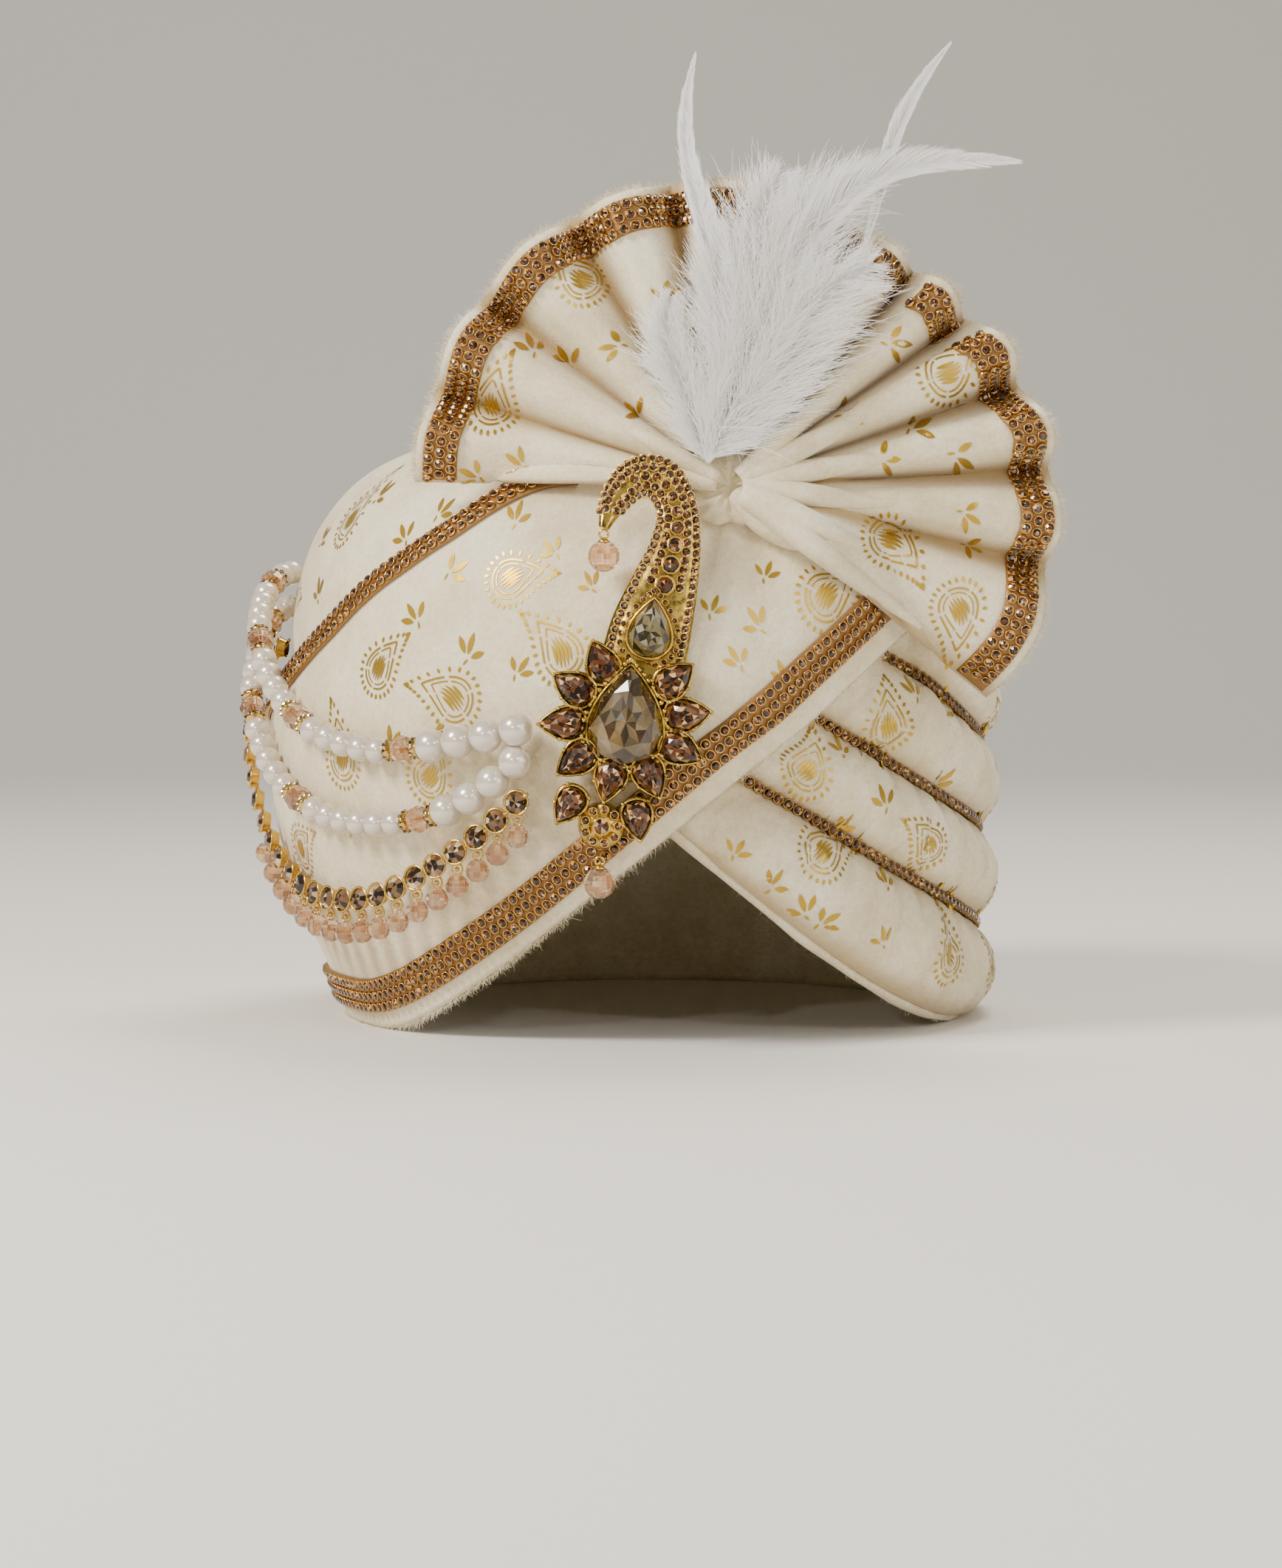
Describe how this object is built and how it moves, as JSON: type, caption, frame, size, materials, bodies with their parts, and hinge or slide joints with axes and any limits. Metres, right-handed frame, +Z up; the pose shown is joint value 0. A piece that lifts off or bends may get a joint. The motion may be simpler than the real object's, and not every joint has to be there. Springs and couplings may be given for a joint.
{
  "type": "tied turban pagri",
  "caption": "Ready-tied groom's turban of ivory velvet with a crossing wrap, padded rolls, a pleated fan, a feather plume and a jewelled brooch with pearl strings.",
  "frame": {"origin": "middle of the head opening, on the plane that the rim rests on", "axes": "+X to the viewer's right seen from the front, -Y the front with the brooch, +Z up through the crown"},
  "size_m": [0.2348, 0.2515, 0.2787],
  "materials": {
    "velvet": "short-pile velvet",
    "tape": "stone-set braid",
    "feather": "soft feather",
    "gold": "polished gold plate",
    "champagne": "cut glass",
    "topaz": "cut glass",
    "pearl": "pearl coat",
    "blush": "cut glass"
  },
  "bodies": {
    "root": {"crown": "velvet", "wrap": "velvet", "hem_tape": "tape", "crown_tape": "tape", "roll_1": "velvet", "roll_2": "velvet", "roll_3": "velvet", "roll_4": "velvet", "groove_chain_1": "tape", "groove_chain_2": "tape", "groove_chain_3": "tape", "fan": "velvet", "fan_tape": "tape", "fan_gather": "velvet", "plume": "feather", "brooch_setting": "gold", "middle_stone": "champagne", "neck_stone": "champagne", "petal_stone_1": "topaz", "petal_stone_2": "topaz", "petal_stone_3": "topaz", "petal_stone_4": "topaz", "petal_stone_5": "topaz", "petal_stone_6": "topaz", "petal_stone_7": "topaz", "petal_stone_8": "topaz", "petal_stone_9": "topaz", "petal_stone_10": "topaz", "petal_stone_11": "topaz", "beak_drop": "blush", "foot_drop": "blush", "upper_pearls": "pearl", "lower_pearls": "pearl", "crystal_fringe": "blush", "string_anchor": "gold"}
  },
  "joints": []
}
